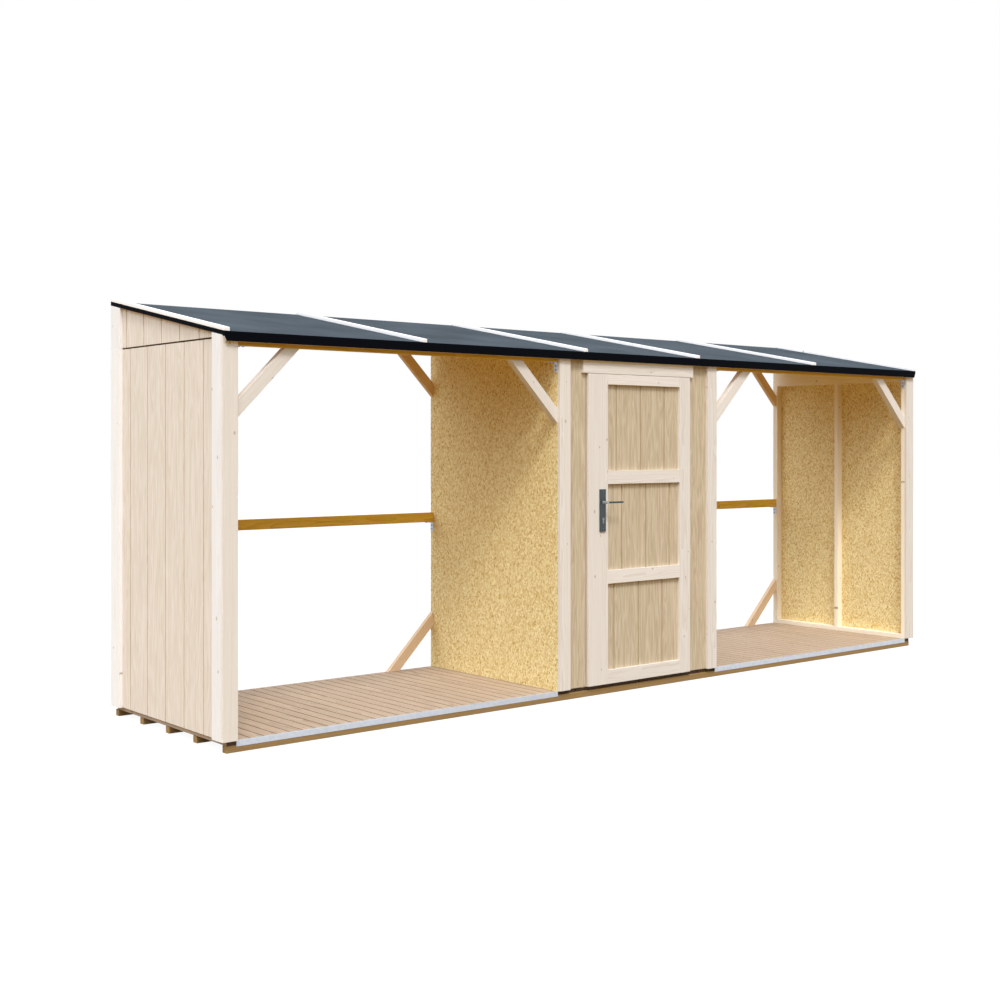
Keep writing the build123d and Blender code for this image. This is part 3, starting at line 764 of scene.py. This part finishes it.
# Roof boards
# Pine boards about 110 mm wide are nailed edge to edge along the roof, from the front up to the back.
# Each has eased edges, so the joints show as fine lines from below.
roof_pitch = 0.1125
roof_joint = 0.001
low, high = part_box("roof_deck")
roof_boards = plain_copy("roof_deck", "roof_boarding")
front_top = max(vert.co.z for vert in roof_boards.data.vertices if vert.co.y < low.y + roof_joint)
fall = (high.z - front_top) / (high.y - low.y)
courses = round((high.y - low.y) / roof_pitch)
pitch = (high.y - low.y) / courses
bpy.ops.object.mode_set(mode="EDIT")
bpy.ops.mesh.select_all(action="SELECT")
bpy.ops.mesh.bisect(plane_co=(0.0, low.y + pitch - roof_joint, 0.0), plane_no=(0.0, 1.0, 0.0), use_fill=True,
                    clear_outer=True)
bpy.ops.object.mode_set(mode="OBJECT")
repeat(roof_boards, courses, (0.0, pitch, pitch * fall))
ease_edges(roof_boards, timber_arris)
mark_grain(roof_boards)
# The roof boards take the golden pine too, whose deep gold is partly painted shade.
dress(roof_boards, golden_shade_pine, "store", "frame_timber", "roof_deck")

# Felt, fascia and battens
# Mineral felt covers the roof boards, folds down over the fascia and the ends, and is held by battens of
# bleached spruce that are nailed through it into the boards.

# Bleached spruce is almost white, with faint rings.
batten_spruce = softwood("Batten spruce, bleached", "#fbf8f4", "#f0e8df", "#cbb9a6", knot_share=0.25)
for node, name, timber in (("front_fascia", "fascia_board", trim_spruce),
                           ("roof_battens", "felt_battens", batten_spruce)):
    boards = eased_copy(node, name, timber_arris)
    mark_grain(boards)
    dress(boards, timber, "store", "trim_board", node)

# Stone granules make the felt's face a matt slate grey, and the folded edges show the black bitumen. The
# granules are drawn 4 mm wide, coarser than real ones, so that they show.
granule_mm = 4.0
granule_strength = 0.6
patch_mm = 400.0
folded_below = 0.5
felt, tree, shader = fresh_material("Mineral roofing felt")
place = own_place(tree)
grit = add_node(tree, "ShaderNodeTexNoise", {"Vector": place, "Scale": 1000.0 / granule_mm, "Detail": 2.0})
patch = add_node(tree, "ShaderNodeTexNoise", {"Vector": place, "Scale": 1000.0 / patch_mm, "Detail": 3.0})
worn = add_node(tree, "ShaderNodeMath",
                {0: grit.outputs["Fac"], 1: granule_strength, 2: patch.outputs["Fac"]},
                operation="MULTIPLY_ADD")
shade = add_node(tree, "ShaderNodeMapRange", {"Value": worn.outputs[0], "From Min": 0.55, "From Max": 1.05})
slate = mix_colours(tree, shade.outputs[0], "#383f44", "#4a5258")
normal = add_node(tree, "ShaderNodeNewGeometry").outputs["Normal"]
facing = add_node(tree, "ShaderNodeSeparateXYZ", {0: normal})
folded = add_node(tree, "ShaderNodeMath", {0: facing.outputs["Z"], 1: folded_below}, operation="LESS_THAN")
skin = mix_colours(tree, folded.outputs[0], slate, "#02040a")
tree.links.new(skin, shader.inputs["Base Color"])
relief = add_node(tree, "ShaderNodeBump", {"Strength": 0.4, "Distance": 0.001, "Height": grit.outputs["Fac"]})
tree.links.new(relief.outputs[0], shader.inputs["Normal"])
shader.inputs["Roughness"].default_value = 0.9
shader.inputs["Specular IOR Level"].default_value = 0.08
roof_skin = frame["nodes"]["roof_felt"]
roof_skin.data.materials.clear()
roof_skin.data.materials.append(felt)

# Door
# The door is a leaf of siding with planed spruce boards nailed on as stiles and rails, so that its panels lie
# sunk between them. It hangs on three galvanised butt hinges.
door_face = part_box("door_leaf")[0].y
door_siding = siding("Oak-grain siding, door", *front_print_and_groove_shade, "Y", door_face, 1)
leaf = eased_copy("door_leaf", "door_siding_leaf", sheet_arris)
dress(leaf, door_siding, "door", "siding", "door_leaf")
for node in ("door_stiles", "door_rails"):
    boards = eased_copy(node, node + "_planed", sheet_arris)
    mark_grain(boards)
    dress(boards, trim_spruce, "door", "trim_board", node)
for node in ("hinge_frame_leaves", "hinge_door_leaves"):
    frame["nodes"][node].data.materials.clear()
    frame["nodes"][node].data.materials.append(zinc)

# Lock
# A long plate of dark satin metal is screwed to the lock stile. It carries a slim lever with a
# nickel collar, and a nickel key cylinder with its key slot.
plate_arris = 0.0012
plate_screw_inset = 0.016
hub_reach = 0.02
key_drum = 0.0085
key_slot = Vector((0.0022, 0.0044, 0.0095))
cylinder_arris = 0.0004
collar_radius = 0.0105
collar_height = 0.007
collar_sides = 24
collar_lift = 0.0003
towards_hand = Vector((0.0, -1.0, 0.0))
plate_low, plate_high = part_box("door_lock_plate")
lock_x = (plate_low.x + plate_high.x) / 2

# Fine brushing along the plate gives a soft dark sheen.
lines_per_metre = (900.0, 900.0, 40.0)
dark_metal, tree, shader = fresh_material("Satin dark metal")
place = own_place(tree)
brush = add_node(tree, "ShaderNodeVectorMath", {0: place, 1: lines_per_metre}, operation="MULTIPLY")
lines = add_node(tree, "ShaderNodeTexNoise", {"Vector": brush.outputs[0], "Scale": 1.0, "Detail": 2.0})
satin = mix_colours(tree, lines.outputs["Fac"], "#3e4548", "#555c5e")
tree.links.new(satin, shader.inputs["Base Color"])
shader.inputs["Metallic"].default_value = 0.7
shader.inputs["Roughness"].default_value = 0.38
plate = eased_copy("door_lock_plate", "door_lock_plate_satin", plate_arris)
dress(plate, dark_metal, "door", "lock_metal", "door_lock_plate")

# The lever's hub over the plate is painted light grey as a painted highlight, and its bar is dark like the
# plate.
lever_highlight_metal = dark_metal.copy()
lever_highlight_metal.name = "Satin dark metal with a nickel hub"
tree = lever_highlight_metal.node_tree
shader = tree.nodes["Principled BSDF"]
parts = add_node(tree, "ShaderNodeSeparateXYZ", {0: own_place(tree)})
# Painted highlight: the lever turns light grey over the plate, up to 20 mm short of the plate's edge.
hub = add_node(tree, "ShaderNodeMath", {0: parts.outputs["X"], 1: plate_high.x - hub_reach},
               operation="LESS_THAN")
bar_colour = shader.inputs["Base Color"].links[0].from_socket
lever_colour = mix_colours(tree, hub.outputs[0], bar_colour, "#b9bdbc")
tree.links.new(lever_colour, shader.inputs["Base Color"])
lever = eased_copy("door_lever", "door_lever_satin", plate_arris)
dress(lever, lever_highlight_metal, "lever", "lock_metal", "door_lever")

# Turned and plated nickel is bright, with fine tool marks round it.
marks_per_metre = (60.0, 1400.0, 60.0)
nickel, tree, shader = fresh_material("Satin nickel")
place = own_place(tree)
turned = add_node(tree, "ShaderNodeVectorMath", {0: place, 1: marks_per_metre}, operation="MULTIPLY")
marks = add_node(tree, "ShaderNodeTexNoise", {"Vector": turned.outputs[0], "Scale": 1.0, "Detail": 2.0})
sheen = mix_colours(tree, marks.outputs["Fac"], "#7b8283", "#9aa09f")
tree.links.new(sheen, shader.inputs["Base Color"])
shader.inputs["Metallic"].default_value = 0.8
shader.inputs["Roughness"].default_value = 0.32
cylinder_low, cylinder_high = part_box("door_lock_cylinder")
cylinder = plain_copy("door_lock_cylinder", "door_lock_cylinder_nickel")
slot_middle = Vector(((cylinder_low.x + cylinder_high.x) / 2, cylinder_low.y, cylinder_high.z - key_drum))
slot_cutter = block("slot_cutter", slot_middle - key_slot / 2, slot_middle + key_slot / 2)
lone(cylinder)
cut = cylinder.modifiers.new("key slot", "BOOLEAN")
cut.operation = "DIFFERENCE"
cut.solver = "EXACT"
cut.object = slot_cutter
bpy.ops.object.modifier_apply(modifier="key slot")
bpy.data.objects.remove(slot_cutter)
ease_edges(cylinder, cylinder_arris)
dress(cylinder, nickel, "door", "cylinder_metal", "door_lock_cylinder")

screw_heights = (plate_low.z + plate_screw_inset, plate_high.z - plate_screw_inset)
ends = [(Vector((lock_x, plate_low.y, height)), towards_hand) for height in screw_heights]
dress(set_heads(screw, "lock_plate_screws", ends), plated, "door", "lock_metal")
lever_low, lever_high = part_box("door_lever")
collar_model = round_head("collar", collar_radius, collar_height, collar_sides, False)
collar_spot = Vector((lock_x, plate_low.y - collar_lift, (lever_low.z + lever_high.z) / 2))
collar = set_heads(collar_model, "lever_collar", [(collar_spot, towards_hand)])
dress(collar, nickel, "lever", "lock_metal")
for model in (screw, collar_model):
    bpy.data.objects.remove(model)

# Studio
# A sheet of white paper is the floor and keeps the store's soft shadow, and the surroundings are white.
# Cool daylight comes from the sky and mostly from the left, and a broad soft key from the front left.
floor_size = 60.0
glow_share = 0.9
glow_start, glow_full = 0.3, 0.15
sky_level = 0.88
sky_tint = (0.95, 1.01, 1.11)
left_window = (Vector((-0.95, -0.1, 0.35)), 1.85)
front_window = (Vector((-0.1, -0.9, 0.45)), 0.15)
key_direction = Vector((0.25, 0.50, -0.83))
white = (1.0, 1.0, 1.0, 1.0)


def straight_look(tree):
    """Where the background itself is seen: straight from the camera, in gloss or through glass."""
    path = add_node(tree, "ShaderNodeLightPath")
    seen = add_node(tree, "ShaderNodeMath",
                    {0: path.outputs["Is Camera Ray"], 1: path.outputs["Is Glossy Ray"]},
                    operation="MAXIMUM")
    seen = add_node(tree, "ShaderNodeMath", {0: seen.outputs[0], 1: path.outputs["Is Transmission Ray"]},
                    operation="MAXIMUM")
    return seen.outputs[0]


bpy.ops.object.select_all(action="DESELECT")
bpy.ops.mesh.primitive_plane_add(size=floor_size)
floor = bpy.context.active_object
floor.name = "studio_floor"

# White paper glows to the eye, and the light that it returns to the store is warm and weak.
# Under the floor it lies in shade: it glows only beyond the bearers and near their open ends.
paper, tree, shader = fresh_material("White studio paper")
tree.nodes.remove(shader)
low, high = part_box("floor_bearers")
parts = add_node(tree, "ShaderNodeSeparateXYZ", {0: own_place(tree)})
reach = add_node(tree, "ShaderNodeMath", {0: parts.outputs["X"]}, operation="ABSOLUTE")
open_end = add_node(tree, "ShaderNodeMapRange", {"Value": reach.outputs[0], "From Min": high.x - glow_start,
                                                 "From Max": high.x - glow_full})
under = add_node(tree, "ShaderNodeMath",
                 {0: parts.outputs["Y"], 1: (low.y + high.y) / 2, 2: (high.y - low.y) / 2},
                 operation="COMPARE")
beyond = add_node(tree, "ShaderNodeMath", {0: 1.0, 1: under.outputs[0]}, operation="SUBTRACT")
lit = add_node(tree, "ShaderNodeMath", {0: open_end.outputs[0], 1: beyond.outputs[0]}, operation="MAXIMUM")
share = add_node(tree, "ShaderNodeMath", {0: lit.outputs[0], 1: glow_share}, operation="MULTIPLY")
matt_paper = add_node(tree, "ShaderNodeBsdfDiffuse", {"Color": white})
glow = add_node(tree, "ShaderNodeEmission", {"Color": white, "Strength": 1.04})
sheet = add_node(tree, "ShaderNodeMixShader",
                 {0: share.outputs[0], 1: matt_paper.outputs[0], 2: glow.outputs[0]})
returned = add_node(tree, "ShaderNodeBsdfDiffuse", {"Color": linear("#80642a")})
mixed = add_node(tree, "ShaderNodeMixShader",
                 {0: straight_look(tree), 1: returned.outputs[0], 2: sheet.outputs[0]})
tree.links.new(mixed.outputs[0], tree.nodes["Material Output"].inputs["Surface"])
floor.data.materials.append(paper)

world = bpy.data.worlds.new("Soft daylight")
bpy.context.scene.world = world
world.use_nodes = True
tree = world.node_tree
way = add_node(tree, "ShaderNodeTexCoord").outputs["Generated"]
daylight = sky_level
for side, level in (left_window, front_window):
    towards = add_node(tree, "ShaderNodeVectorMath", {0: way, 1: side.normalized()}, operation="DOT_PRODUCT")
    soft_box = add_node(tree, "ShaderNodeMapRange", {"Value": towards.outputs["Value"], "To Max": level},
                        interpolation_type="SMOOTHSTEP")
    daylight = add_node(tree, "ShaderNodeMath", {0: soft_box.outputs[0], 1: daylight},
                        operation="ADD").outputs[0]
height = add_node(tree, "ShaderNodeSeparateXYZ", {0: way})
overhead = add_node(tree, "ShaderNodeMapRange",
                    {"Value": height.outputs["Z"], "From Min": -0.1, "From Max": 0.7, "To Min": 0.03},
                    interpolation_type="SMOOTHSTEP")
daylight = add_node(tree, "ShaderNodeMath", {0: daylight, 1: overhead.outputs[0]}, operation="MULTIPLY")
cool = add_node(tree, "ShaderNodeVectorMath", {0: sky_tint, "Scale": daylight.outputs[0]}, operation="SCALE")
light = mix_colours(tree, straight_look(tree), cool.outputs[0], white)
tree.links.new(light, tree.nodes["Background"].inputs["Color"])

bpy.ops.object.light_add(type="SUN", location=(-4.0, -6.0, 8.0))
key = bpy.context.active_object
key.name = "soft_key"
key.data.energy = 2.0
key.data.color = (0.975, 1.0, 1.045)
key.data.angle = math.radians(14.0)
key.rotation_euler = key_direction.to_track_quat("-Z", "Y").to_euler()

# The camera stands level in front of the left corner, and its shift frames the store as the photograph does.
camera_data = bpy.data.cameras.new("camera")
camera_data.sensor_width = 36.0
camera_data.lens = 49.92
camera_data.shift_y = -0.055
camera = bpy.data.objects.new("camera", camera_data)
bpy.context.scene.collection.objects.link(camera)
camera.location = (-5.9483, -6.4242, 1.4557)
camera.rotation_euler = (math.radians(90.0), 0.0, math.radians(-39.703))
bpy.context.scene.camera = camera
bpy.context.scene.view_settings.view_transform = "Standard"
